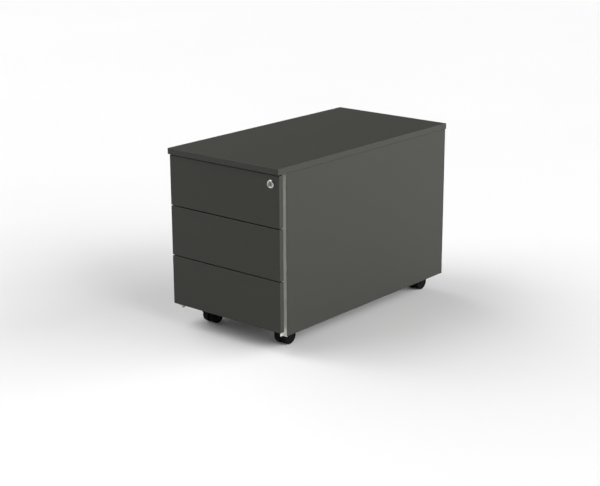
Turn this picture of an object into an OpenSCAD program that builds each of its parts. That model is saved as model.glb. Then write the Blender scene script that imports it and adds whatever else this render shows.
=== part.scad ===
// Rolling pedestal cabinet: laminated-board carcass on four twin-wheel casters, three steel-tray
// drawers on telescopic slides, side grip profiles in aluminium and one central lock.
// Front faces -Y, +X is the cabinet's right as seen from the front, origin on the floor
// under the centre of the top panel.

/* [Cabinet] */
// Width over the top panel
cab_w = 424; // [400:1:460]
// Depth over the top panel
cab_d = 800; // [760:1:820]
// Height from the floor to the top surface
cab_h = 544; // [538:1:560]
// Thickness of the carcass boards
board_t = 18; // [16:1:19]
// Thickness of the edge bands
band_t = 2; // [1:0.5:2]
// Height of the side panels' lower edge above the floor
skirt_z = 55; // [52:1:58]
// Height of the bottom board's underside above the floor
base_z = 63; // [62:1:64]
// How far the top reaches past the drawer fronts
top_front_over = 6; // [4:1:8]
// How far the top reaches past the side panels at the rear
top_rear_over = 5; // [2:1:8]

/* [Drawer fronts] */
// Thickness of a front
front_t = 16; // [16:1:18]
// Gap above each front
front_gap = 3; // [2:0.5:4]
// How far the fronts stand in from the cabinet's sides
front_inset = 2; // [1:0.5:3]
// Height of the lowest front's lower edge above the floor
front_z = 70; // [69:1:72]
// Depth of the finger recess behind a front
grip_gap = 12.5; // [12:0.5:15]

/* [Drawers] */
// Height of a steel tray
tray_h = 92; // [88:1:92]
// Length of a steel tray
tray_len = 705; // [690:5:715]
// Sheet thickness of a tray
sheet_t = 1.2; // [1:0.1:1.5]
// Length of a slide member
slide_len = 700; // [690:5:705]

/* [Casters] */
// Wheel diameter
wheel_d = 50; // [48:1:50]
// Width of one wheel
wheel_w = 15; // [13:0.5:15.5]
// Distance of the swivel axes from the cabinet's middle
caster_x = 142.5; // [135:0.5:145]
// Distance of the wheel axle behind the swivel axis
caster_trail = 20; // [18:1:20]

/* [Lock] */
// Distance of the lock from the right edge of the fronts
lock_inset = 31; // [30:0.5:34]
// Distance of the lock below the top panel
lock_drop = 29; // [28:0.5:29.5]
// Throw of the lock's drive pin
pin_throw = 5; // [4.5:0.25:5]

/* [Hidden] */
$fn = 48;
half_w = cab_w / 2;
front_edge = -cab_d / 2;
rear_edge = cab_d / 2;
top_under = cab_h - board_t;
inner_x = half_w - board_t;

// drawer fronts, counted from the lowest
front_count = 3;
front_y = front_edge + top_front_over;
front_back = front_y + front_t;
front_w = cab_w - 2 * front_inset;
front_h = (top_under - front_z - front_count * front_gap) / front_count;
function front_base(i) = front_z + i * (front_h + front_gap);

// carcass
side_front = front_back + grip_gap;
side_rear = rear_edge - top_rear_over;
back_front = side_rear - board_t;
profile_t = 2;
profile_drop = 2;
lip_t = 1.2;
web_out = inner_x + 1;
joint = 0.05;

// trays and slides; u runs from the side panel towards the tray
slide_gap = 13;
tray_half = inner_x - slide_gap;
tray_lift = 19;
function tray_base(i) = front_base(i) + tray_lift;
slide_mid = 44;
function slide_z(i) = tray_base(i) + slide_mid;
slide_front = side_front + 0.5;
rail_t = 1.2;
outer_half = 22.5;
middle_half = 17.6;
inner_half = 12.7;
tray_rear = front_back + tray_len;
hem_w = 7;

// lock
lock_x = front_w / 2 - lock_inset;
lock_z = top_under - lock_drop;
housing_r = 9;
plug_r = 7;
running_gap = 0.06;
housing_rear = front_back + 18;
pin_r = 2.5;
pin_drop = pin_throw * sin(45);
pin_play = 0.5;
groove_y = side_front + 15;
groove_w = 20;
groove_deep = 5.5;
bar_w = 18;
bar_t = 3;
bar_out = inner_x + groove_deep - 1;
bar_front = groove_y + (groove_w - bar_w) / 2;
stud_r = 3;
stud_y = bar_front + 9.5;
stud_up = 84;
function stud_z(i) = tray_base(i) + stud_up;
guide_heights = [front_base(0) + 120, front_base(1) + 12, front_base(2) + 12];

// casters: the swivel axes' x and y
caster_front_y = side_front + 48.5;
caster_rear_y = side_rear - 60;
casters = [[-caster_x, caster_front_y], [caster_x, caster_front_y],
           [-caster_x, caster_rear_y], [caster_x, caster_rear_y]];
plate_size = 60;
plate_t = 2.5;
plate_hole_r = 2.6;
plate_pitch = 45;
kingpin_r = 3.5;
wheel_r = wheel_d / 2;
wheel_space = 12;
web_t = wheel_space - 1;
axle_r = 3;
hood_top = base_z - plate_t - 0.3;

// cam fittings: [cam centre on the board's face, outward normal of the bore, bolt direction]
cam_r = 7.5;
cam_deep = 12.5;
cam_reach = 24;
bolt_r = 3.5;
bolt_bite = 11;
half_t = board_t / 2;
cams = concat(
    [for (s = [-1, 1], y = [-290, 300])
        [[s * inner_x, y, top_under - cam_reach], [-s, 0, 0], [0, 0, 1]]],
    [for (x = [-110, 110]) [[x, back_front, top_under - cam_reach], [0, -1, 0], [0, 0, 1]]],
    [for (s = [-1, 1], y = [-220, 240])
        [[s * (inner_x - cam_reach), y, base_z], [0, 0, -1], [s, 0, 0]]],
    [for (s = [-1, 1], z = [150, 430])
        [[s * (inner_x - cam_reach), back_front, z], [0, -1, 0], [s, 0, 0]]]);
dowel_r = 4;
dowel_half = 14;
dowels = concat(
    [for (s = [-1, 1], y = [-240, 60, 350]) [[s * (half_w - half_t), y, top_under], [0, 0, 1]]],
    [for (s = [-1, 1], y = [-345, 0, 340]) [[s * inner_x, y, base_z + half_t], [s, 0, 0]]],
    [for (x = [-90, 90]) [[x, back_front, base_z + half_t], [0, 1, 0]]]);

board_grey = [0.29, 0.29, 0.27];
band_grey = [0.31, 0.31, 0.29];
zinc = [0.74, 0.75, 0.76];
nylon_black = [0.05, 0.05, 0.05];

// ---- helpers ----

// Box between two corners
module span(low, high) {
    translate(low) cube(high - low);
}

// Turns +Z to one of the six axis directions
function turn(d) = d[0] > 0 ? [0, 90, 0] : d[0] < 0 ? [0, -90, 0]
    : d[1] > 0 ? [-90, 0, 0] : d[1] < 0 ? [90, 0, 0] : d[2] < 0 ? [180, 0, 0] : [0, 0, 0];

// Round bar from a point along a direction
module rod(start, d, r, len) {
    translate(start) rotate(turn(d)) cylinder(r = r, h = len);
}

// Both hands of a shape made for the right side
module both_sides() {
    children();
    mirror([1, 0, 0]) children();
}

// Four strips round a board that lies in the X-Y plane, butted at the corners with a hairline joint
module band_ring(w, d, t) {
    for (s = [-1, 1]) {
        translate([s * (w - band_t) / 2, 0, 0]) cube([band_t, d, t], center = true);
        translate([0, s * (d - band_t) / 2, 0]) cube([w - 2 * (band_t + joint), band_t, t], center = true);
    }
}

// ---- carcass ----

// Bores for every cam, its bolt and the dowels, shared by all carcass boards
module fitting_bores() {
    for (c = cams) {
        rod(c[0] + 0.5 * c[1], -c[1], cam_r + 0.1, cam_deep + 0.5);
        rod(c[0] - half_t * c[1], c[2], bolt_r + 0.3, cam_reach);
        rod(c[0] - half_t * c[1], c[2], bolt_r - 0.8, cam_reach + bolt_bite);
    }
    for (d = dowels) rod(d[0] - (dowel_half + 1) * d[1], d[1], dowel_r + 0.05, 2 * dowel_half + 2);
}

module top_panel() {
    color(board_grey) difference() {
        span([-half_w + band_t, front_edge + band_t, top_under],
             [half_w - band_t, rear_edge - band_t, cab_h]);
        fitting_bores();
    }
}

module top_edge_bands() {
    color(band_grey) translate([0, 0, cab_h - board_t / 2]) band_ring(cab_w, cab_d, board_t);
}

// Side board, edged at the foot and the rear; a thin lip in front covers the grip profile's edge
module side_panel() {
    span([inner_x, side_front, skirt_z + band_t], [half_w, side_rear - band_t, top_under]);
    span([half_w - lip_t, side_front - profile_t, skirt_z], [half_w, side_front, top_under]);
}

module left_side_panel() {
    color(board_grey) difference() {
        mirror([1, 0, 0]) side_panel();
        fitting_bores();
        mirror([1, 0, 0]) rail_screw_holes();
    }
}

// The right board also has the groove that the lock bar runs in
module right_side_panel() {
    color(board_grey) difference() {
        side_panel();
        fitting_bores();
        rail_screw_holes();
        span([inner_x - 1, groove_y, base_z + board_t + 4],
             [inner_x + groove_deep, groove_y + groove_w, top_under - 3]);
    }
}

module side_edge_bands() {
    color(band_grey) both_sides() {
        span([inner_x, side_front, skirt_z], [half_w, side_rear - band_t - joint, skirt_z + band_t]);
        span([inner_x, side_rear - band_t, skirt_z], [half_w, side_rear, top_under]);
    }
}

module back_panel() {
    color(board_grey) difference() {
        span([-inner_x, back_front, skirt_z], [inner_x, side_rear, top_under]);
        fitting_bores();
    }
}

module bottom_panel() {
    color(board_grey) difference() {
        span([-inner_x, side_front, base_z], [inner_x, back_front, base_z + board_t]);
        fitting_bores();
        for (c = casters, sx = [-1, 1], sy = [-1, 1])
            rod([c[0] + sx * plate_pitch / 2, c[1] + sy * plate_pitch / 2, base_z - 1],
                [0, 0, 1], 1.8, 14);
    }
}

module cam_locks() {
    color(zinc) for (c = cams) difference() {
        rod(c[0], -c[1], cam_r, cam_deep - 0.3);
        rod(c[0] - half_t * c[1] - 2 * c[2], c[2], bolt_r + 0.2, cam_r + 3);
        translate(c[0] + 0.5 * c[1]) rotate(turn(-c[1])) {
            cube([1.6, 8, 4], center = true);
            cube([8, 1.6, 4], center = true);
        }
    }
}

// Bolt: shank in the plain board's edge, thread in the drilled board
module cam_bolts() {
    color(zinc) for (c = cams) {
        centre = c[0] - half_t * c[1];
        rod(centre, c[2], bolt_r - 0.2, 2.5);
        rod(centre + 2 * c[2], c[2], bolt_r - 1.4, 5);
        rod(centre + 6 * c[2], c[2], bolt_r - 0.1, cam_reach - 6);
        rod(centre + (cam_reach - 0.5) * c[2], c[2], bolt_r - 0.9, bolt_bite);
    }
}

module wood_dowels() {
    color("burlywood") for (d = dowels) rod(d[0] - dowel_half * d[1], d[1], dowel_r, 2 * dowel_half);
}

// Aluminium grip: a strip set into a side board's front edge and the recess's inner wall beside it
module grip_profile() {
    web_front = front_back + 1.5;
    nose_r = profile_t / 2;
    translate([0, 0, skirt_z - profile_drop]) linear_extrude(top_under - skirt_z + profile_drop) {
        translate([web_out + joint, side_front - profile_t])
            square([half_w - lip_t - web_out - 2 * joint, profile_t]);
        translate([web_out - profile_t, web_front + nose_r])
            square([profile_t, side_front - web_front - nose_r]);
        translate([web_out - nose_r, web_front + nose_r]) circle(r = nose_r);
    }
}

module left_grip_profile() {
    color("silver") mirror([1, 0, 0]) grip_profile();
}

module right_grip_profile() {
    color("silver") grip_profile();
}

// ---- telescopic slides ----

// Channel section with its web on the side of the panel, in u and z, extruded along the slide
module channel(u_web, u_edge, half_z, y0, len, lip) {
    low = min(u_web, u_edge);
    high = max(u_web, u_edge);
    web_low = u_web < u_edge ? u_web : u_web - rail_t;
    lip_low = u_web < u_edge ? u_edge - rail_t : u_edge;
    span([inner_x - web_low - rail_t, y0, -half_z], [inner_x - web_low, y0 + len, half_z]);
    for (s = [-1, 1]) translate([0, 0, s * (half_z - rail_t / 2)])
        span([inner_x - high, y0, -rail_t / 2], [inner_x - low, y0 + len, rail_t / 2]);
    if (lip > 0) for (s = [-1, 1]) translate([0, 0, s * (half_z - lip / 2)])
        span([inner_x - lip_low - rail_t, y0, -lip / 2], [inner_x - lip_low, y0 + len, lip / 2]);
}

screw_steps = [45, 237, 525];

module rail_screw_holes() {
    for (i = [0 : front_count - 1], y = screw_steps)
        rod([inner_x - 1, slide_front + y, slide_z(i)], [1, 0, 0], 1.7, 14);
}

// Member screwed to the side panel, with a bent stop lip at the rear
module cabinet_rails(i) {
    color(zinc) both_sides() translate([0, 0, slide_z(i)]) difference() {
        union() {
            channel(0, 10, outer_half, slide_front, slide_len, 2.6);
            span([inner_x - 10, slide_front + slide_len - rail_t, -8],
                 [inner_x, slide_front + slide_len, 8]);
        }
        for (y = screw_steps) rod([inner_x - 3, slide_front + y, 0], [1, 0, 0], 2.1, 5);
        for (y = [110, 330, 430, 620]) rod([inner_x - 3, slide_front + y, 0], [1, 0, 0], 3, 5);
    }
}

module rail_screws() {
    color("gainsboro") both_sides() for (i = [0 : front_count - 1], y = screw_steps)
        translate([inner_x, slide_front + y, slide_z(i)]) {
            rod([-rail_t - 1.1, 0, 0], [1, 0, 0], 3.4, 1.1);
            rod([-rail_t - 0.5, 0, 0], [1, 0, 0], 1.6, 12);
        }
}

// Floating member between the two others
module middle_members(i) {
    color(zinc) both_sides() translate([0, 0, slide_z(i)]) difference() {
        channel(2.8, 9.6, middle_half, slide_front, slide_len - 4, 0);
        for (y = [70, 210, 350, 490, 630]) rod([inner_x - 6, slide_front + y, 0], [1, 0, 0], 4, 6);
    }
}

// Member fixed to the tray's side
module drawer_rails(i) {
    color(zinc) both_sides() translate([0, 0, slide_z(i)]) difference() {
        channel(slide_gap - 0.1, 5.2, inner_half, slide_front - 6, slide_len, 0);
        for (y = [60, 300, 560]) rod([inner_x - slide_gap - 1, slide_front + y, 0], [1, 0, 0], 2.1, 4);
        for (y = [150, 420]) rod([inner_x - slide_gap - 1, slide_front + y, 0], [1, 0, 0], 3, 4);
    }
}

// ---- drawers ----

fix_x = 150;
fix_up = [22, 70];

module lock_hole(r) {
    rod([lock_x, front_y - 5, lock_z], [0, 1, 0], r, front_t + 30);
}

module drawer_front(i) {
    color(board_grey) difference() {
        span([-front_w / 2 + band_t, front_y, front_base(i) + band_t],
             [front_w / 2 - band_t, front_back, front_base(i) + front_h - band_t]);
        for (sx = [-1, 1], z = fix_up)
            rod([sx * fix_x, front_back + 1, tray_base(i) + z], [0, -1, 0], 1.6, 13.5);
        if (i == front_count - 1) lock_hole(housing_r + 0.1);
    }
}

module front_bands(i) {
    color(band_grey) translate([0, (front_y + front_back) / 2, front_base(i) + front_h / 2])
        rotate([90, 0, 0]) band_ring(front_w, front_h, front_t);
}

// Steel tray of five spot-welded sheets: floor, front, and hemmed sides and rear
module drawer_tray(i) {
    z0 = tray_base(i);
    z1 = z0 + tray_h;
    seam = sheet_t + joint;
    hem_z = z1 - sheet_t;
    color("lightgrey") difference() {
        union() {
            span([-tray_half + seam, front_back + seam, z0], [tray_half - seam, tray_rear - seam, z0 + sheet_t]);
            span([-tray_half + seam, front_back, z0], [tray_half - seam, front_back + sheet_t, z1]);
            span([-tray_half + seam, tray_rear - sheet_t, z0], [tray_half - seam, tray_rear, z1]);
            span([-tray_half + hem_w + joint, tray_rear - hem_w, hem_z], [tray_half - hem_w - joint, tray_rear, z1]);
            both_sides() {
                span([tray_half - sheet_t, front_back, z0], [tray_half, tray_rear, z1]);
                span([tray_half - hem_w, front_back + seam, hem_z], [tray_half, tray_rear - seam, z1]);
            }
        }
        for (sx = [-1, 1], z = fix_up)
            rod([sx * fix_x, front_back - 1, z0 + z], [0, 1, 0], 2.1, 4);
        for (sx = [-1, 1], y = [60, 300, 560])
            rod([sx * (tray_half + 1), slide_front + y, slide_z(i)], [-sx, 0, 0], 2.1, 4);
        rod([tray_half + 1, stud_y, stud_z(i)], [-1, 0, 0], 2.1, 4);
    }
}

// Screws through the tray into the front, rivets into the rails, and the shoulder stud for the lock
module drawer_fasteners(i) {
    color("gainsboro") {
        for (sx = [-1, 1], z = fix_up) translate([sx * fix_x, front_back, tray_base(i) + z]) {
            rod([0, sheet_t, 0], [0, 1, 0], 3.6, 2);
            rod([0, sheet_t + 0.5, 0], [0, -1, 0], 1.5, 12);
        }
        for (sx = [-1, 1], y = [60, 300, 560])
            translate([sx * (tray_half - sheet_t), slide_front + y, slide_z(i)]) {
                rod([0, 0, 0], [-sx, 0, 0], 3.4, 1);
                rod([-sx * 0.5, 0, 0], [sx, 0, 0], 2, sheet_t + rail_t + 0.9);
            }
        translate([tray_half, stud_y, stud_z(i)]) {
            rod([0, 0, 0], [1, 0, 0], stud_r, 8);
            rod([0.5, 0, 0], [-1, 0, 0], 2, sheet_t + 1.1);
            rod([-sheet_t, 0, 0], [-1, 0, 0], 3.5, 1.6);
        }
    }
}

// ---- central lock ----

module lock_housing() {
    color("silver") difference() {
        union() {
            rod([lock_x, front_y, lock_z], [0, 1, 0], housing_r, housing_rear - front_y);
            rod([lock_x, front_y, lock_z], [0, -1, 0], 12, 1.6);
            rod([lock_x, front_y - 1.2, lock_z], [0, -1, 0], 10.6, 1.6);
        }
        lock_hole(plug_r + running_gap);
    }
}

module lock_nut() {
    color(zinc) difference() {
        translate([lock_x, front_back, lock_z]) rotate([-90, 0, 0]) cylinder(r = 12, h = 3.5, $fn = 6);
        lock_hole(housing_r + running_gap);
    }
}

// Rotating core with the key slot in front and the off-centre drive pin behind
module lock_plug() {
    color("silver") difference() {
        union() {
            rod([lock_x, front_y - 1.8, lock_z], [0, 1, 0], plug_r, housing_rear - front_y + 2.2);
            rod([lock_x, housing_rear + 0.3, lock_z], [0, 1, 0], 8, 2.5);
            rod([lock_x + pin_drop, housing_rear + 1, lock_z - pin_drop], [0, 1, 0], pin_r,
                bar_front + 5 - housing_rear);
        }
        translate([lock_x, front_y - 1.8, lock_z]) cube([1.4, 12, 8.4], center = true);
        translate([lock_x + 0.5, front_y - 1.8, lock_z - 1.2]) cube([1.6, 12, 1.8], center = true);
    }
}

// Vertical bar with one hook for each drawer and the slotted head that the drive pin moves
module lock_bar() {
    bar_low = front_base(0) + 55;
    head_z = lock_z - pin_drop;
    head_half = 7;
    color(zinc) difference() {
        union() {
            span([bar_out - bar_t, bar_front, bar_low], [bar_out, bar_front + bar_w, head_z + head_half]);
            for (i = [0 : front_count - 1])
                span([tray_half + 3.5, bar_front, stud_z(i) - 12], [bar_out, bar_front + 5, stud_z(i) - 5]);
            span([lock_x - 8, bar_front, head_z - head_half], [bar_out, bar_front + 3, head_z + head_half]);
        }
        span([lock_x - 3, bar_front - 1, head_z - pin_r - pin_play],
             [lock_x + 9, bar_front + 4, head_z + pin_r + pin_play]);
    }
}

// Straps across the groove that keep the bar in it
module lock_bar_guides() {
    color("silver") for (z = guide_heights) {
        span([inner_x - 1.2, groove_y - 5, z], [inner_x, groove_y + groove_w + 5, z + 10]);
    }
}

// ---- casters ----

module caster_plate(c) {
    color(zinc) translate([c[0], c[1], 0]) {
        difference() {
            translate([-plate_size / 2, -plate_size / 2, base_z - plate_t])
                cube([plate_size, plate_size, plate_t]);
            for (sx = [-1, 1], sy = [-1, 1])
                rod([sx * plate_pitch / 2, sy * plate_pitch / 2, base_z - plate_t - 1],
                    [0, 0, 1], plate_hole_r, plate_t + 2);
        }
        rod([0, 0, base_z - plate_t + 0.5], [0, 0, -1], kingpin_r, 24);
    }
}

module caster_screws() {
    color("gainsboro") for (c = casters, sx = [-1, 1], sy = [-1, 1])
        translate([c[0] + sx * plate_pitch / 2, c[1] + sy * plate_pitch / 2, base_z - plate_t]) {
            rod([0, 0, 0], [0, 0, -1], 4, 2);
            rod([0, 0, -0.5], [0, 0, 1], 1.7, 14);
        }
}

// Swivel housing: top disc, web and round boss between the wheels and a mudguard over both
module caster_hood(c) {
    guard_r = wheel_r + 1.5;
    guard_t = 2.5;
    guard_w = 2 * wheel_w + wheel_space;
    boss_r = wheel_r - 4;
    color(nylon_black) translate([c[0], c[1], 0]) difference() {
        union() {
            translate([0, 0, hood_top - 5]) cylinder(r = 16, h = 5);
            rod([-web_t / 2, caster_trail, wheel_r], [1, 0, 0], boss_r, web_t);
            intersection() {
                union() {
                    translate([0, caster_trail, wheel_r]) rotate([0, 90, 0])
                        cylinder(r = guard_r + guard_t, h = web_t, center = true);
                    span([-web_t / 2, -9, wheel_r - 10], [web_t / 2, caster_trail, hood_top - 1]);
                }
                span([-web_t, -9, wheel_r - 10], [web_t, caster_trail + 40, hood_top - 1]);
            }
            difference() {
                translate([0, caster_trail, wheel_r]) rotate([0, 90, 0])
                    cylinder(r = guard_r + guard_t, h = guard_w, center = true, $fn = 96);
                translate([0, caster_trail, wheel_r]) rotate([0, 90, 0])
                    cylinder(r = guard_r, h = guard_w + 2, center = true, $fn = 96);
                span([-guard_w, -40, -10], [guard_w, caster_trail, wheel_r - 5]);
                span([-guard_w, caster_trail - 1, -10], [guard_w, 80, wheel_r + 6]);
            }
        }
        rod([0, 0, base_z - 40], [0, 0, 1], kingpin_r + running_gap, 50);
        rod([-32, caster_trail, wheel_r], [1, 0, 0], axle_r + 0.02, 64);
    }
}

module caster_axle(c) {
    axle_half = wheel_space / 2 + 12.5;
    color(zinc) rod([c[0] - axle_half, c[1] + caster_trail, wheel_r], [1, 0, 0], axle_r, 2 * axle_half);
}

// Wheel with rounded tread edges, a dished outer face and a blind hub; side is -1 or 1
module wheel(c, side) {
    edge_r = 3;
    hub_r = 7;
    x_in = wheel_space / 2;
    color(nylon_black) translate([c[0], c[1] + caster_trail, wheel_r]) rotate([0, side * 90, 0])
        translate([0, 0, x_in]) rotate_extrude($fn = 96) difference() {
            union() {
                square([wheel_r - edge_r, wheel_w]);
                translate([0, edge_r]) square([wheel_r, wheel_w - 2 * edge_r]);
                for (z = [edge_r, wheel_w - edge_r])
                    translate([wheel_r - edge_r, z]) circle(r = edge_r, $fn = 32);
            }
            translate([-1, -1]) square([1 + axle_r + running_gap, 14.5]);
            translate([hub_r + 1.5, wheel_w - 2.5]) square([wheel_r - hub_r - 6.5, 4]);
            translate([hub_r + 1.5, -1]) square([wheel_r - hub_r - 6.5, 5]);
        }
}

top_panel();
top_edge_bands();
left_side_panel();
right_side_panel();
side_edge_bands();
back_panel();
bottom_panel();
left_grip_profile();
right_grip_profile();
cam_locks();
cam_bolts();
wood_dowels();
cabinet_rails(2);  // upper_cabinet_rails
cabinet_rails(1);  // middle_cabinet_rails
cabinet_rails(0);  // lower_cabinet_rails
rail_screws();
lock_bar_guides();
lock_bar();
drawer_front(2);  // upper_drawer_front
drawer_front(1);  // middle_drawer_front
drawer_front(0);  // lower_drawer_front
front_bands(2);  // upper_front_bands
front_bands(1);  // middle_front_bands
front_bands(0);  // lower_front_bands
drawer_tray(2);  // upper_drawer_tray
drawer_tray(1);  // middle_drawer_tray
drawer_tray(0);  // lower_drawer_tray
drawer_rails(2);  // upper_drawer_rails
drawer_rails(1);  // middle_drawer_rails
drawer_rails(0);  // lower_drawer_rails
drawer_fasteners(2);  // upper_drawer_fasteners
drawer_fasteners(1);  // middle_drawer_fasteners
drawer_fasteners(0);  // lower_drawer_fasteners
middle_members(2);  // upper_middle_members
middle_members(1);  // middle_middle_members
middle_members(0);  // lower_middle_members
lock_housing();
lock_nut();
lock_plug();
caster_plate(casters[0]);  // front_left_caster_plate
caster_plate(casters[1]);  // front_right_caster_plate
caster_plate(casters[2]);  // rear_left_caster_plate
caster_plate(casters[3]);  // rear_right_caster_plate
caster_screws();
caster_hood(casters[0]);  // front_left_caster_hood
caster_hood(casters[1]);  // front_right_caster_hood
caster_hood(casters[2]);  // rear_left_caster_hood
caster_hood(casters[3]);  // rear_right_caster_hood
caster_axle(casters[0]);  // front_left_caster_axle
caster_axle(casters[1]);  // front_right_caster_axle
caster_axle(casters[2]);  // rear_left_caster_axle
caster_axle(casters[3]);  // rear_right_caster_axle
wheel(casters[0], -1);  // front_left_wheel_left
wheel(casters[0], 1);  // front_left_wheel_right
wheel(casters[1], -1);  // front_right_wheel_left
wheel(casters[1], 1);  // front_right_wheel_right
wheel(casters[2], -1);  // rear_left_wheel_left
wheel(casters[2], 1);  // rear_left_wheel_right
wheel(casters[3], -1);  // rear_right_wheel_left
wheel(casters[3], 1);  // rear_right_wheel_right
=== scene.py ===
import bmesh
import bpy
import numpy as np
from mathutils import Matrix, Vector


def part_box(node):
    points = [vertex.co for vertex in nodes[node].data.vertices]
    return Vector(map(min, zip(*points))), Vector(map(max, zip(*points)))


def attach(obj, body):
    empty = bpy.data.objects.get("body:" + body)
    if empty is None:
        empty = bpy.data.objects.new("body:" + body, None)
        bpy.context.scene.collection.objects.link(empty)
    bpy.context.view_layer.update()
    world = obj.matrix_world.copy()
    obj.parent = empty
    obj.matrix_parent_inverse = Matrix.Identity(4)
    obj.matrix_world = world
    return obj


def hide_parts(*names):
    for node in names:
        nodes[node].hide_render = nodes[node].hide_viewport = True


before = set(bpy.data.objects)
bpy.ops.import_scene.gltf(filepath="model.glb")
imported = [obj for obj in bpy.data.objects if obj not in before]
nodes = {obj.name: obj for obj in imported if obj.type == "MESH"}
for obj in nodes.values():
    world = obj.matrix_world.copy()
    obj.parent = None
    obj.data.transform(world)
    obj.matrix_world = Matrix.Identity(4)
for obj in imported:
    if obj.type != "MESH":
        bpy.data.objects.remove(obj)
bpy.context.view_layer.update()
MM = 0.001

# ---- Carcass boards ----
# Five 18 mm particle boards faced with anthracite melamine: top, two sides, back and bottom.
# The pressed facing has a fine pearl grain and a faint cloudiness, and the boards are cut,
# banded and bored before they are put together.
BOARD_DARK = (0.0163, 0.0170, 0.0115, 1)
BOARD_LIGHT = (0.0191, 0.0199, 0.0136, 1)
BOARD_ROUGHNESS = (0.505, 0.535)
BOARD_SPECULAR = 0.37
PEARL_PER_METRE = 850
PEARL_DEPTH = 0.02 * MM
CLOUDS_PER_METRE = 5
CLOUDS_SHARE = 0.45


def finish(name, metallic=0.0, roughness=0.5, specular=0.5):
    """A new material; returns it with its node tree and its shader."""
    material = bpy.data.materials.new(name)
    material.use_nodes = True
    shader = material.node_tree.nodes["Principled BSDF"]
    shader.inputs["Metallic"].default_value = metallic
    shader.inputs["Roughness"].default_value = roughness
    shader.inputs["Specular IOR Level"].default_value = specular
    return material, material.node_tree, shader


def step(tree, kind, inputs=None, **settings):
    """Adds one node; inputs maps a socket's name or number to a value or to the socket that feeds it."""
    made = tree.nodes.new("ShaderNode" + kind)
    for key, value in settings.items():
        setattr(made, key, value)
    for key, value in (inputs or {}).items():
        if isinstance(value, bpy.types.NodeSocket):
            tree.links.new(value, made.inputs[key])
        else:
            made.inputs[key].default_value = value
    return made


def place(tree, stretch=(1, 1, 1)):
    """Object coordinates in metres, stretched along the axes."""
    coordinates = step(tree, "TexCoord")
    return step(tree, "Mapping", {"Vector": coordinates.outputs["Object"], "Scale": stretch}).outputs[0]


def noise(tree, where, per_metre, detail=3.0, sharpness=0.5):
    """Fractal noise between 0 and 1 with so many features a metre."""
    sockets = {"Vector": where, "Scale": per_metre, "Detail": detail, "Roughness": sharpness}
    return step(tree, "TexNoise", sockets).outputs["Fac"]


def spread(tree, value, low, high, start=0.3, end=0.7):
    """The value's middle part, mapped onto low to high."""
    sockets = {"Value": value, "From Min": start, "From Max": end, "To Min": low, "To Max": high}
    return step(tree, "MapRange", sockets).outputs["Result"]


def paint(tree, shader, factor, dark, light):
    """Base colour that goes from dark to light with the factor."""
    mixer = step(tree, "Mix", {"Factor": factor}, data_type="RGBA")
    colours = [socket for socket in mixer.inputs if socket.type == "RGBA"]
    colours[0].default_value, colours[1].default_value = dark, light
    result = next(socket for socket in mixer.outputs if socket.type == "RGBA")
    tree.links.new(result, shader.inputs["Base Color"])


def dull(tree, shader, value, low, high):
    """Roughness that goes from low to high with the value's middle part."""
    tree.links.new(spread(tree, value, low, high), shader.inputs["Roughness"])


def mean(tree, a, b, share=0.5):
    """Weighted mean of two values; share belongs to the second."""
    first = step(tree, "Math", {0: a, 1: 1 - share}, operation="MULTIPLY").outputs[0]
    return step(tree, "Math", {0: b, 1: share, 2: first}, operation="MULTIPLY_ADD").outputs[0]


def raise_surface(tree, shader, height, depth):
    """Bump whose full height is depth, in metres."""
    bump = step(tree, "Bump", {"Height": height, "Strength": 1.0, "Distance": depth})
    tree.links.new(bump.outputs[0], shader.inputs["Normal"])


def wear(names, material):
    """Puts a material on CAD nodes that keep their shape."""
    for name in names:
        mesh = nodes[name].data
        mesh.materials.clear()
        mesh.materials.append(material)


def melamine(name, dark, light):
    """Pressed facing: a pearl grain and wide clouds set the tone, the clouds also the roughness."""
    material, tree, shader = finish(name, specular=BOARD_SPECULAR)
    where = place(tree)
    pearl = noise(tree, where, PEARL_PER_METRE, detail=2)
    clouds = noise(tree, where, CLOUDS_PER_METRE, detail=4)
    tone = spread(tree, mean(tree, pearl, clouds, CLOUDS_SHARE), 0, 1)
    paint(tree, shader, tone, dark, light)
    dull(tree, shader, clouds, *BOARD_ROUGHNESS)
    raise_surface(tree, shader, pearl, PEARL_DEPTH)
    return material


wear(["top_panel", "left_side_panel", "right_side_panel", "back_panel", "bottom_panel"],
     melamine("anthracite_melamine", BOARD_DARK, BOARD_LIGHT))

# ---- Edge bands of the carcass ----
# 2 mm plastic band glued round the top's four edges and on each side's foot and rear edge.
# Its outer edges are milled to a small round, and it is a little glossier than the facing.
BAND = 2.0 * MM
ARRIS = 0.9 * MM
BAND_DARK = (0.0166, 0.0174, 0.0127, 1)
BAND_LIGHT = (0.0188, 0.0197, 0.0144, 1)
BAND_ROUGHNESS = (0.44, 0.54)
BAND_GRAIN_PER_METRE = 420
BAND_RIPPLE_PER_METRE = 1500
BAND_RIPPLE_DEPTH = 0.006 * MM
BAND_CORNER = 0.6 * MM
SHARP = np.radians(32)


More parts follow.
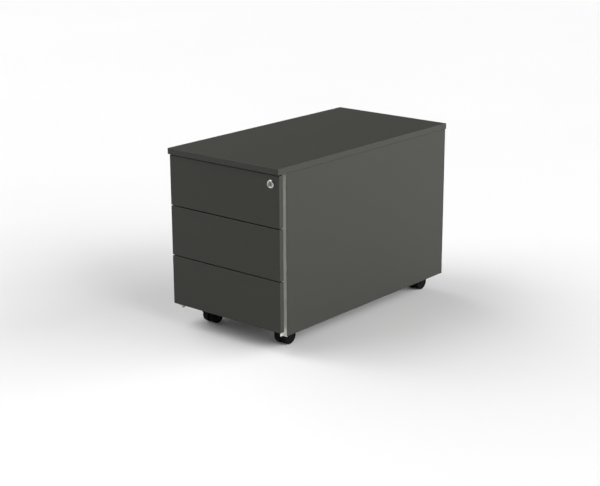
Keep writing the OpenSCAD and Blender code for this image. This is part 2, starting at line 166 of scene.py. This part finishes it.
def rounded_outline(corners, radii, steps=5):
    """Closed outline with round corners. Each arc turns between its two tangent points about the
    centre on the corner's bisector: the two radii are mixed by the sines of the shares of the turn."""
    p = np.asarray(corners, float)
    r = np.broadcast_to(np.asarray(radii, float), len(p))[:, None]
    back, onward = np.roll(p, 1, 0) - p, np.roll(p, -1, 0) - p
    back /= np.linalg.norm(back, axis=1, keepdims=True)
    onward /= np.linalg.norm(onward, axis=1, keepdims=True)
    half = np.arccos(np.clip((back * onward).sum(1, keepdims=True), -1, 1)) / 2
    bisector = (back + onward) / np.linalg.norm(back + onward, axis=1, keepdims=True)
    reach, centre = r / np.tan(half), p + bisector * r / np.sin(half)
    first, last = p + back * reach - centre, p + onward * reach - centre
    turn, t = (np.pi - 2 * half)[:, None], np.linspace(0, 1, steps + 1)[None, :, None]
    arc = (np.sin((1 - t) * turn) * first[:, None] + np.sin(t * turn) * last[:, None]) / np.sin(turn)
    guard = reach + 0.3 * r
    ends = [(p + back * guard)[:, None], (p + onward * guard)[:, None]]
    return np.concatenate([ends[0], centre[:, None] + arc, ends[1]], axis=1).reshape(-1, 2)


def swept(profile, path, origin, axes, closed_path=True, closed_profile=True):
    """Profile carried along a path in one plane. Point (i, j) is path point i, plus the profile's
    first number along the mitre (the sum of the two neighbouring outward normals over one plus
    their product), plus its second number along the plane's normal. Open ends get a lid."""
    path, profile = np.asarray(path, float), np.asarray(profile, float)
    run = np.roll(path, -1, 0) - path
    if not closed_path:
        run[-1] = run[-2]
    run /= np.linalg.norm(run, axis=1, keepdims=True)
    after = np.stack([run[:, 1], -run[:, 0]], axis=1)
    before = np.roll(after, 1, 0)
    if not closed_path:
        before[0] = after[0]
    mitre = (after + before) / (1 + (after * before).sum(1, keepdims=True))
    flat = path[:, None] + profile[None, :, :1] * mitre[:, None]
    level = np.broadcast_to(profile[None, :, 1:], (*flat.shape[:2], 1))
    points = np.asarray(origin) + np.concatenate([flat, level], axis=2) @ np.asarray(axes, float)
    return grid(points, closed_path, closed_profile)


def grid(points, closed_rows, closed_columns):
    """Vertices and faces of a grid of points that may close on itself either way, with lids."""
    rows, columns = points.shape[:2]
    index = np.arange(rows * columns).reshape(rows, columns)
    down = np.concatenate([index, index[:1]]) if closed_rows else index
    if closed_columns:
        down = np.concatenate([down, down[:, :1]], axis=1)
    quads = np.stack([down[:-1, :-1], down[1:, :-1], down[1:, 1:], down[:-1, 1:]], axis=-1)
    faces = quads.reshape(-1, 4).tolist()
    if not closed_rows:
        faces += [index[0].tolist(), index[-1][::-1].tolist()]
    elif not closed_columns:
        faces += [index[:, 0][::-1].tolist(), index[:, -1].tolist()]
    return points.reshape(-1, 3), faces


def joined(*parts):
    """Several vertex and face lists as one."""
    starts = np.cumsum([0] + [len(points) for points, _ in parts[:-1]])
    faces = [[v + int(s) for v in face] for (_, fs), s in zip(parts, starts) for face in fs]
    return np.concatenate([points for points, _ in parts]), faces


def piece(name, shape, material, body, replaces=()):
    """One finished object from vertices and faces: doubles merged, faces outward, riding on its body."""
    points, faces = shape
    mesh = bpy.data.meshes.new(name)
    mesh.from_pydata(points, [], faces)
    shell = bmesh.new()
    shell.from_mesh(mesh)
    bmesh.ops.remove_doubles(shell, verts=shell.verts, dist=1e-6)
    bmesh.ops.recalc_face_normals(shell, faces=shell.faces)
    shell.to_mesh(mesh)
    shell.free()
    mesh.polygons.foreach_set("use_smooth", np.ones(len(mesh.polygons), bool))
    mesh.set_sharp_from_angle(angle=SHARP)
    mesh.materials.append(material)
    made = bpy.data.objects.new(name, mesh)
    bpy.context.scene.collection.objects.link(made)
    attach(made, body)
    if replaces:
        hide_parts(*replaces)
    return made


X, Y, Z = np.eye(3)

band_plastic, tree, shader = finish("anthracite_edge_band", specular=BOARD_SPECULAR)
band_place = place(tree)
band_grain = noise(tree, band_place, BAND_GRAIN_PER_METRE, detail=3)
paint(tree, shader, spread(tree, band_grain, 0, 1), BAND_DARK, BAND_LIGHT)
dull(tree, shader, band_grain, *BAND_ROUGHNESS)
band_ripple = noise(tree, band_place, BAND_RIPPLE_PER_METRE, detail=1)
raise_surface(tree, shader, band_ripple, BAND_RIPPLE_DEPTH)


def band_section(width):
    """Band's section: outer corners rounded, inner ones square; first number outward, second across."""
    half = width / 2
    corners = [(-BAND, -half), (0, -half), (0, half), (-BAND, half)]
    return rounded_outline(corners, [0.05 * MM, ARRIS, ARRIS, 0.05 * MM])


def rectangle(half_a, half_b, corner):
    """Counter-clockwise rectangle with small round corners."""
    corners = [(-half_a, -half_b), (half_a, -half_b), (half_a, half_b), (-half_a, half_b)]
    return rounded_outline(corners, corner)


low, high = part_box("top_edge_bands")
top_centre = (low + high) / 2
top_outline = rectangle((high.x - low.x) / 2, (high.y - low.y) / 2, BAND_CORNER)
top_band = swept(band_section(high.z - low.z), top_outline, top_centre, (X, Y, Z))
piece("top_band", top_band, band_plastic, "cabinet", ["top_edge_bands"])

side_low, side_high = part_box("right_side_panel")
band_low, band_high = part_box("side_edge_bands")
side_middle = (side_low.x + side_high.x) / 2
foot_and_rear = [(band_low.y, band_low.z), (band_high.y, band_low.z), (band_high.y, band_high.z)]
side_bands = [swept(band_section(side_high.x - side_low.x), foot_and_rear, (side * side_middle, 0, 0),
                    (Y, Z, X), closed_path=False) for side in (-1, 1)]
piece("side_bands", joined(*side_bands), band_plastic, "cabinet", ["side_edge_bands"])

# ---- Grip profiles ----
# Matt anodised aluminium angle on each side board's front edge: a flange over the edge and a web
# forward of it, so fingers can reach behind the drawer fronts over the whole height.
ALUMINIUM_DARK = (0.60, 0.605, 0.562, 1)
ALUMINIUM_LIGHT = (0.69, 0.695, 0.645, 1)
ALUMINIUM_ROUGHNESS = (0.5, 0.62)
DRAWN_PER_METRE = 2600
DRAWN_STRETCH = (1, 1, 0.004)
PROFILE_WALL = 2.0 * MM
FIT = 0.2 * MM
PROFILE_ROUNDS = [0.2 * MM, 0.5 * MM, 0.6 * MM, 0.8 * MM, 0.8 * MM, 0.2 * MM]

anodised, tree, shader = finish("matt_anodised_aluminium", metallic=0.2, roughness=0.55)
drawn_lines = noise(tree, place(tree, DRAWN_STRETCH), DRAWN_PER_METRE, detail=2)
patches = noise(tree, place(tree), 14, detail=2)
tone = spread(tree, mean(tree, drawn_lines, patches, 0.35), 0, 1)
paint(tree, shader, tone, ALUMINIUM_DARK, ALUMINIUM_LIGHT)
dull(tree, shader, drawn_lines, *ALUMINIUM_ROUGHNESS)
raise_surface(tree, shader, drawn_lines, 0.004 * MM)

for hand, side in (("left", -1), ("right", 1)):
    low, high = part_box(hand + "_grip_profile")
    outer, inner = max(abs(low.x), abs(high.x)), min(abs(low.x), abs(high.x)) + FIT
    rear = high.y
    web, flange = inner + PROFILE_WALL, rear - PROFILE_WALL
    angle_section = [(outer, rear), (outer, flange), (web, flange), (web, low.y), (inner, low.y), (inner, rear)]
    outline = rounded_outline(angle_section, PROFILE_ROUNDS, steps=4)
    heights = np.array([low.z, high.z])
    run = np.concatenate([np.broadcast_to(outline * (side, 1), (2, *outline.shape)),
                          np.broadcast_to(heights[:, None, None], (2, len(outline), 1))], axis=2)
    piece(hand + "_grip", grid(run, False, True), anodised, "cabinet",
          [hand + "_grip_profile"])

# ---- Hidden fittings ----
# Zinc cam locks with steel bolts and fluted beech dowels hold the boards together. The bolts, every
# screw, the lock bar with its guides and the lock's nut are zinc plated steel.
CAM_DARK, CAM_LIGHT = (0.30, 0.30, 0.31, 1), (0.48, 0.48, 0.50, 1)
ZINC_DARK, ZINC_LIGHT = (0.46, 0.47, 0.48, 1), (0.64, 0.65, 0.66, 1)
BEECH_DARK, BEECH_LIGHT = (0.40, 0.25, 0.13, 1), (0.58, 0.41, 0.24, 1)

cast_zinc, tree, shader = finish("cast_zinc", metallic=0.9, roughness=0.5)
casting = noise(tree, place(tree), 700, detail=4)
paint(tree, shader, spread(tree, casting, 0, 1), CAM_DARK, CAM_LIGHT)
raise_surface(tree, shader, casting, 0.03 * MM)
wear(["cam_locks"], cast_zinc)

plated_steel, tree, shader = finish("zinc_plated_steel", metallic=0.95, roughness=0.3)
spangle_place = place(tree)
spangle = step(tree, "TexVoronoi", {"Vector": spangle_place, "Scale": 160.0}).outputs["Color"]
rolling = noise(tree, place(tree, (1, 0.02, 1)), 1800, detail=2)
spangle_grey = step(tree, "RGBToBW", {0: spangle}).outputs[0]
tone = spread(tree, mean(tree, spangle_grey, rolling, 0.6), 0, 1, 0.2, 0.8)
paint(tree, shader, tone, ZINC_DARK, ZINC_LIGHT)
dull(tree, shader, rolling, 0.26, 0.4)
raise_surface(tree, shader, rolling, 0.006 * MM)
levels = ["upper", "middle", "lower"]
wear(["cam_bolts", "rail_screws", "caster_screws", "lock_bar_guides", "lock_bar", "lock_nut"]
     + [level + "_drawer_fasteners" for level in levels], plated_steel)

beech, tree, shader = finish("beech", roughness=0.7)
rings = step(tree, "TexWave", {"Vector": place(tree), "Scale": 220.0, "Distortion": 4.0}).outputs["Fac"]
paint(tree, shader, rings, BEECH_DARK, BEECH_LIGHT)
wear(["wood_dowels"], beech)

# ---- Telescopic slides ----
# Each slide has three roll-formed zinc plated members. Steel balls in the gaps above and below
# carry the load; the outer gap's balls sit in the middle member's rear half, the inner's in front.
BALL_R = 1.7 * MM
BALL_STEP = 24 * MM
BALL_DARK, BALL_LIGHT = (0.5, 0.5, 0.5, 1), (0.72, 0.72, 0.72, 1)
BALL_ROW_INSET = 7.0 * MM
RAIL_WALL = 1.2 * MM
BALL_SPAN = {"outer": (10 * MM, 300 * MM), "inner": (-352 * MM, -40 * MM)}
wear([level + part for level in levels for part in ("_cabinet_rails", "_middle_members", "_drawer_rails")],
     plated_steel)

polished_balls, tree, shader = finish("ball_steel", metallic=1.0, roughness=0.12)
grease = noise(tree, place(tree), 500, detail=2)
paint(tree, shader, spread(tree, grease, 0, 1), BALL_DARK, BALL_LIGHT)


def balls(centres, radius, around=10, up=6):
    """Spheres on all centres at once: longitude and latitude grids, moved to each centre."""
    longitude, latitude = np.meshgrid(np.linspace(0, 2 * np.pi, around, endpoint=False),
                                      np.linspace(-np.pi / 2, np.pi / 2, up), indexing="ij")
    unit = np.stack([np.cos(latitude) * np.cos(longitude), np.cos(latitude) * np.sin(longitude),
                     np.sin(latitude)], axis=-1)
    one_points, one_faces = grid(unit, True, False)
    one_faces = one_faces[:around * (up - 1)]
    points = centres[:, None] + radius * one_points[None]
    offsets = np.arange(len(centres))[:, None, None] * len(one_points)
    faces = (np.array(one_faces)[None] + offsets).reshape(-1, 4).tolist()
    return points.reshape(-1, 3), faces


for level in levels:
    rail_low, rail_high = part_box(level + "_cabinet_rails")
    member_low, member_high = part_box(level + "_middle_members")
    drawer_low, drawer_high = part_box(level + "_drawer_rails")
    middle_z = (rail_low.z + rail_high.z) / 2
    gaps = {"outer": ((rail_high.z - RAIL_WALL) + member_high.z) / 2 - middle_z,
            "inner": ((member_high.z - RAIL_WALL) + drawer_high.z) / 2 - middle_z}
    row_x = rail_high.x - BALL_ROW_INSET
    centres = np.array([(side * row_x, y, middle_z + up * rise)
                        for key, rise in gaps.items()
                        for y in np.arange(*BALL_SPAN[key], BALL_STEP)
                        for side in (-1, 1) for up in (-1, 1)])
    piece(level + "_slide_balls", balls(centres, BALL_R), polished_balls, level + "_slide_members")

# ---- Drawers ----
# Fronts are 16 mm melamine boards with 2 mm bands on all four edges; behind each hangs a spot-welded
# steel tray, powder coated light grey, screwed to the front and riveted to its rails.
# Front colours are the carcass melamine made about 3% lighter and 9% bluer. This is painted light that lifts
# the front faces' shading, since the fronts are the same anthracite board.
FRONT_PAINTED_LIT_DARK, FRONT_PAINTED_LIT_LIGHT = (0.0169, 0.0175, 0.0125, 1), (0.0198, 0.0205, 0.0148, 1)
TRAY_DARK, TRAY_LIGHT = (0.34, 0.34, 0.325, 1), (0.40, 0.40, 0.385, 1)
SHEET = 1.2 * MM
SHEET_EDGE = 0.3 * SHEET
TRAY_HEM = 7.0 * MM
BEND = 1.8 * MM

# the fronts wear the carcass melamine with painted light added: a lighter, bluer copy of the board colour
wear([level + "_drawer_front" for level in levels], melamine("front_melamine_painted_lighter", FRONT_PAINTED_LIT_DARK, FRONT_PAINTED_LIT_LIGHT))
for level in levels:
    low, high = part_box(level + "_front_bands")
    outline = rectangle((high.x - low.x) / 2, (high.z - low.z) / 2, BAND_CORNER)
    ring = swept(band_section(high.y - low.y), outline, (low + high) / 2, (X, Z, -Y))
    piece(level + "_front_band", ring, band_plastic, level + "_drawer",
          [level + "_front_bands"])

powder_coat, tree, shader = finish("light_grey_powder_coat", roughness=0.48)
coat_place = place(tree)
peel = noise(tree, coat_place, 380, detail=2)
smudges = noise(tree, coat_place, 9, detail=3)
paint(tree, shader, spread(tree, smudges, 0, 1), TRAY_DARK, TRAY_LIGHT)
dull(tree, shader, smudges, 0.42, 0.54)
raise_surface(tree, shader, peel, 0.03 * MM)


def slab(low, high, edge):
    """Box with softened edges: a flat quarter turn of the edge radius at the top and the bottom."""
    size = (np.asarray(high) - np.asarray(low)) / 2
    turn = np.linspace(0, np.pi / 2, 4)
    upper_half = np.stack([(np.cos(turn) - 1) * edge, size[2] + (np.sin(turn) - 1) * edge], axis=1)
    lower_half = upper_half[::-1] * (1, -1)
    return swept(np.concatenate([lower_half, upper_half]), rectangle(size[0], size[1], 0.8 * edge),
                 (np.asarray(low) + np.asarray(high)) / 2, (X, Y, Z), closed_profile=False)


for level in levels:
    low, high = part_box(level + "_drawer_tray")
    middle, half_height = (low + high) / 2, (high.z - low.z) / 2
    hemmed_wall = rounded_outline(
        [(0, -half_height), (0, half_height), (-TRAY_HEM, half_height), (-TRAY_HEM, half_height - SHEET),
         (-SHEET, half_height - SHEET), (-SHEET, -half_height)],
        [BEND, BEND, 0.4 * SHEET, 0.4 * SHEET, 0.3 * BEND, 0.2 * SHEET])
    round_the_back = [(high.x, low.y), (high.x, high.y), (low.x, high.y), (low.x, low.y)]
    walls = swept(hemmed_wall, round_the_back, (0, 0, middle.z), (X, Y, Z), closed_path=False)
    floor_sheet = slab((low.x + SHEET, low.y + SHEET, low.z),
                       (high.x - SHEET, high.y - SHEET, low.z + SHEET), SHEET_EDGE)
    front_sheet = slab((low.x + SHEET, low.y, low.z), (high.x - SHEET, low.y + SHEET, high.z), SHEET_EDGE)
    piece(level + "_tray", joined(walls, floor_sheet, front_sheet), powder_coat, level + "_drawer",
          [level + "_drawer_tray"])

# ---- Central lock ----
# Nickel plated cam lock in the top front: a collar with a stepped rim around the turning plug.
# The plug's face is rubbed dull by keys and shows the upright key slot.
NICKEL_DARK, NICKEL_LIGHT = (0.36, 0.36, 0.35, 1), (0.52, 0.52, 0.50, 1)
PLUG_DARK, PLUG_LIGHT = (0.13, 0.13, 0.125, 1), (0.24, 0.24, 0.235, 1)
COLLAR_BORE_R, SLEEVE_R, COLLAR_R = 7.06 * MM, 9 * MM, 12 * MM
ROUND = 96


def turned(section, centre, axis, reference, steps=ROUND):
    """Closed section of (radius, height) turned about an axis: radius times the circle, plus height
    along the axis."""
    angle = np.linspace(0, 2 * np.pi, steps, endpoint=False)[:, None]
    axis, reference = np.asarray(axis, float), np.asarray(reference, float)
    circle = np.cos(angle) * reference + np.sin(angle) * np.cross(axis, reference)
    section = np.asarray(section, float)
    points = (np.asarray(centre) + section[None, :, :1] * circle[:, None]
              + section[None, :, 1:] * axis)
    return grid(points, True, True)


nickel, tree, shader = finish("nickel_plate", metallic=1.0)
worn = noise(tree, place(tree), 900, detail=4)
paint(tree, shader, spread(tree, worn, 0, 1), NICKEL_DARK, NICKEL_LIGHT)
dull(tree, shader, worn, 0.16, 0.28)
raise_surface(tree, shader, worn, 0.008 * MM)

dull_nickel, tree, shader = finish("dull_nickel", metallic=1.0)
rubbed = noise(tree, place(tree), 1400, detail=4)
paint(tree, shader, spread(tree, rubbed, 0, 1), PLUG_DARK, PLUG_LIGHT)
dull(tree, shader, rubbed, 0.3, 0.45)
raise_surface(tree, shader, rubbed, 0.008 * MM)
wear(["lock_plug"], dull_nickel)

low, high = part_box("lock_housing")
lock_centre = Vector(((low.x + high.x) / 2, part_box("upper_drawer_front")[0].y, (low.z + high.z) / 2))
front_depth = lock_centre.y - low.y
rear_depth = high.y - lock_centre.y
collar = rounded_outline(
    [(COLLAR_BORE_R, -rear_depth), (SLEEVE_R, -rear_depth), (SLEEVE_R, 0), (COLLAR_R, 0),
     (COLLAR_R, 1.5 * MM), (10.7 * MM, front_depth), (8.6 * MM, front_depth),
     (7.9 * MM, front_depth - 0.7 * MM), (COLLAR_BORE_R, front_depth - 0.9 * MM)],
    [0.2 * MM, 0.4 * MM, 0.1 * MM, 0.2 * MM, 0.5 * MM, 0.5 * MM, 0.4 * MM, 0.3 * MM, 0.15 * MM])
piece("lock_collar", turned(collar, lock_centre, -Y, X), nickel, "upper_drawer",
      ["lock_housing"])

# ---- Casters ----
# Black nylon twin-wheel casters: a hood turns on the plate's kingpin, fills the space between two
# dished wheels with its web and boss, and covers their upper part. The treads are dulled by use.
NYLON_DARK, NYLON_LIGHT = (0.0018, 0.0018, 0.0018, 1), (0.0032, 0.0032, 0.0031, 1)
TREAD_DARK, TREAD_LIGHT = (0.0020, 0.0020, 0.0020, 1), (0.0050, 0.0049, 0.0047, 1)
NYLON_SPECULAR = 0.06
GUARD_IN, GUARD_OUT = 26.5 * MM, 29.0 * MM
GUARD_HALF = 21.0 * MM
WEB_HALF = 5.5 * MM
BOSS_R = 21.0 * MM
WHEEL_R, WHEEL_WIDTH = 25.0 * MM, 15.0 * MM
WHEEL_INNER_FACE = 6.0 * MM
TRAIL = 20.0 * MM
places = ["front_left", "front_right", "rear_left", "rear_right"]

nylon, tree, shader = finish("black_nylon", specular=NYLON_SPECULAR)
nylon_place = place(tree)
mould = noise(tree, nylon_place, 900, detail=3)
paint(tree, shader, spread(tree, mould, 0, 1), NYLON_DARK, NYLON_LIGHT)
dull(tree, shader, mould, 0.36, 0.48)
raise_surface(tree, shader, mould, 0.01 * MM)

tread, tree, shader = finish("wheel_nylon", specular=NYLON_SPECULAR)
tread_place = place(tree)
scuffs = noise(tree, tread_place, 140, detail=5, sharpness=0.65)
paint(tree, shader, spread(tree, scuffs, 0, 1), TREAD_DARK, TREAD_LIGHT)
dull(tree, shader, scuffs, 0.46, 0.7)
raise_surface(tree, shader, scuffs, 0.03 * MM)

wear([place_name + part for place_name in places for part in ("_caster_plate", "_caster_axle")],
     plated_steel)

wheel_section = rounded_outline(
    [(3.06 * MM, 0), (8.5 * MM, 0), (8.5 * MM, 4 * MM), (19.5 * MM, 4 * MM), (20.5 * MM, 0),
     (WHEEL_R, 0), (WHEEL_R, WHEEL_WIDTH), (21.5 * MM, WHEEL_WIDTH), (20 * MM, 12.6 * MM),
     (10.5 * MM, 12.2 * MM), (9 * MM, 14.6 * MM), (3.2 * MM, WHEEL_WIDTH), (0.2 * MM, WHEEL_WIDTH),
     (0.2 * MM, 13.5 * MM), (3.06 * MM, 13.5 * MM)],
    [0.3 * MM, 0.5 * MM, 0.5 * MM, 0.5 * MM, 0.5 * MM, 2.6 * MM, 3.0 * MM, 0.9 * MM, 1.2 * MM,
     1.2 * MM, 0.8 * MM, 0.6 * MM, 0.1 * MM, 0.1 * MM, 0.2 * MM], steps=5)
arc_section = rounded_outline([(GUARD_IN, -GUARD_HALF), (GUARD_OUT, -GUARD_HALF + 1.2 * MM),
                               (GUARD_OUT, GUARD_HALF - 1.2 * MM), (GUARD_IN, GUARD_HALF)],
                              [0.5 * MM, 1.6 * MM, 1.6 * MM, 0.5 * MM])
boss_section = rounded_outline([(3.02 * MM, -WEB_HALF), (BOSS_R, -WEB_HALF), (BOSS_R, WEB_HALF),
                                (3.02 * MM, WEB_HALF)], [0.2 * MM, 0.9 * MM, 0.9 * MM, 0.2 * MM])
for place_name in places:
    body = place_name + "_swivel"
    low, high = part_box(place_name + "_caster_axle")
    axle = (low + high) / 2
    king = np.array([axle.x, axle.y - TRAIL, 0])
    hood_low, hood_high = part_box(place_name + "_caster_hood")
    # the mudguard's section is carried round the axle, from over the front to behind the wheels
    angle = np.linspace(np.radians(162), np.radians(12), 40)[:, None]
    ray = np.cos(angle) * Y + np.sin(angle) * Z
    guard_points = (np.array(axle) + arc_section[None, :, :1] * ray[:, None] + arc_section[None, :, 1:] * X)
    guard = grid(guard_points, False, True)
    web_top = hood_high.z - 1 * MM
    web = rounded_outline(
        [(-9 * MM, 16 * MM), (24 * MM, 16 * MM), (44 * MM, 20 * MM), (46 * MM, 36 * MM), (36 * MM, 49 * MM),
         (20 * MM, 53.5 * MM), (18 * MM, web_top), (-9 * MM, web_top)],
        [2 * MM, 6 * MM, 4 * MM, 8 * MM, 8 * MM, 2 * MM, 1 * MM, 2 * MM], steps=6)
    half = WEB_HALF
    edge = [(-0.8 * MM, -half), (-0.25 * MM, -half + 0.25 * MM), (0, -half + 0.8 * MM),
            (0, half - 0.8 * MM), (-0.25 * MM, half - 0.25 * MM), (-0.8 * MM, half)]
    web_slab = swept(edge, web, king, (Y, Z, X), closed_profile=False)
    disc_section = rounded_outline(
        [(3.56 * MM, -5 * MM), (14.5 * MM, -5 * MM), (16 * MM, 0), (3.56 * MM, 0)],
        [0.3 * MM, 1 * MM, 1 * MM, 0.3 * MM])
    disc = turned(disc_section, (king[0], king[1], hood_high.z), Z, X)
    boss = turned(boss_section, axle, X, Y)
    piece(place_name + "_hood", joined(guard, web_slab, disc, boss), nylon, body,
          [place_name + "_caster_hood"])
    for hand, side in (("left", -1), ("right", 1)):
        inner_face = (axle.x + side * WHEEL_INNER_FACE, axle.y, axle.z)
        wheel = turned(wheel_section, inner_face, side * X, Y)
        piece("%s_%s_tyre" % (place_name, hand), wheel, tread, "%s_%s_wheel" % (place_name, hand),
              ["%s_wheel_%s" % (place_name, hand)])

# ---- Studio ----
# A pale seamless floor that runs out of view, large soft lamps from both sides and the front, a
# faint even sky, and the camera.
FLOOR_HALF = 30.0
FLOOR_DARK, FLOOR_LIGHT = (0.80, 0.80, 0.80, 1), (0.81, 0.81, 0.81, 1)
floor_paint, tree, shader = finish("pale_floor", roughness=0.6, specular=0.2)
floor_tone = spread(tree, noise(tree, place(tree), 0.8, detail=2), 0, 1)
paint(tree, shader, floor_tone, FLOOR_DARK, FLOOR_LIGHT)
floor_mesh = bpy.data.meshes.new("floor")
floor_mesh.from_pydata([(-FLOOR_HALF, -FLOOR_HALF, 0), (FLOOR_HALF, -FLOOR_HALF, 0),
                        (FLOOR_HALF, FLOOR_HALF, 0), (-FLOOR_HALF, FLOOR_HALF, 0)], [], [(0, 1, 2, 3)])
floor_mesh.materials.append(floor_paint)
floor = bpy.data.objects.new("floor", floor_mesh)
bpy.context.scene.collection.objects.link(floor)

SKY = 0.1
world = bpy.data.worlds.new("studio")
world.use_nodes = True
world.node_tree.nodes["Background"].inputs["Color"].default_value = (1, 1, 1, 1)
world.node_tree.nodes["Background"].inputs["Strength"].default_value = SKY
bpy.context.scene.world = world
bpy.context.scene.view_settings.view_transform = "Standard"

LAMP_SPREAD = np.radians(50)
EXPOSURE = 1.01
LAMP_DISTANCE = 3.0
LAMPS = {  # name: (degrees round from the front, degrees up, strength)
    "right_rear_box": (135, 20, 2.42),
    "right_box": (90, 20, 2.746),
    "rear_left_box": (225, 20, 0.106),
    "left_box": (270, 20, 0.887),
    "high_left_box": (270, 45, 0.610),
    "high_front_box": (315, 45, 1.596),
}
for lamp_name, (round_from_front, up, strength) in LAMPS.items():
    lamp = bpy.data.lights.new(lamp_name, "SUN")
    lamp.angle = LAMP_SPREAD
    lamp.energy = strength * EXPOSURE
    holder = bpy.data.objects.new(lamp_name, lamp)
    bearing, rise = np.radians(round_from_front), np.radians(up)
    aim = Vector((np.sin(bearing) * np.cos(rise), -np.cos(bearing) * np.cos(rise), np.sin(rise)))
    holder.location = aim * LAMP_DISTANCE
    holder.rotation_mode = "QUATERNION"
    holder.rotation_quaternion = aim.to_track_quat("Z", "Y")
    bpy.context.scene.collection.objects.link(holder)

AZIMUTH, ELEVATION, ROLL = np.radians(40.23), np.radians(16.46), np.radians(-0.25)
DISTANCE, AIM = 4.271, np.array([-0.0206, -0.0350, 0.2099])
FOCAL_LENGTH, SENSOR_WIDTH = 83.634, 36.0
back = np.array([np.sin(AZIMUTH) * np.cos(ELEVATION), -np.cos(AZIMUTH) * np.cos(ELEVATION),
                 np.sin(ELEVATION)])
right = np.array([np.cos(AZIMUTH), np.sin(AZIMUTH), 0])
upward = np.cross(back, right)
right, upward = (right * np.cos(ROLL) + upward * np.sin(ROLL), upward * np.cos(ROLL) - right * np.sin(ROLL))
lens = bpy.data.cameras.new("camera")
lens.sensor_width = SENSOR_WIDTH
lens.lens = FOCAL_LENGTH
lens.clip_end = 100.0
camera = bpy.data.objects.new("camera", lens)
camera.rotation_mode = "QUATERNION"
turn = Matrix(np.stack([right, upward, back], axis=1).tolist())
camera.rotation_quaternion = turn.to_quaternion()
camera.location = AIM + back * DISTANCE
bpy.context.scene.collection.objects.link(camera)
bpy.context.scene.camera = camera
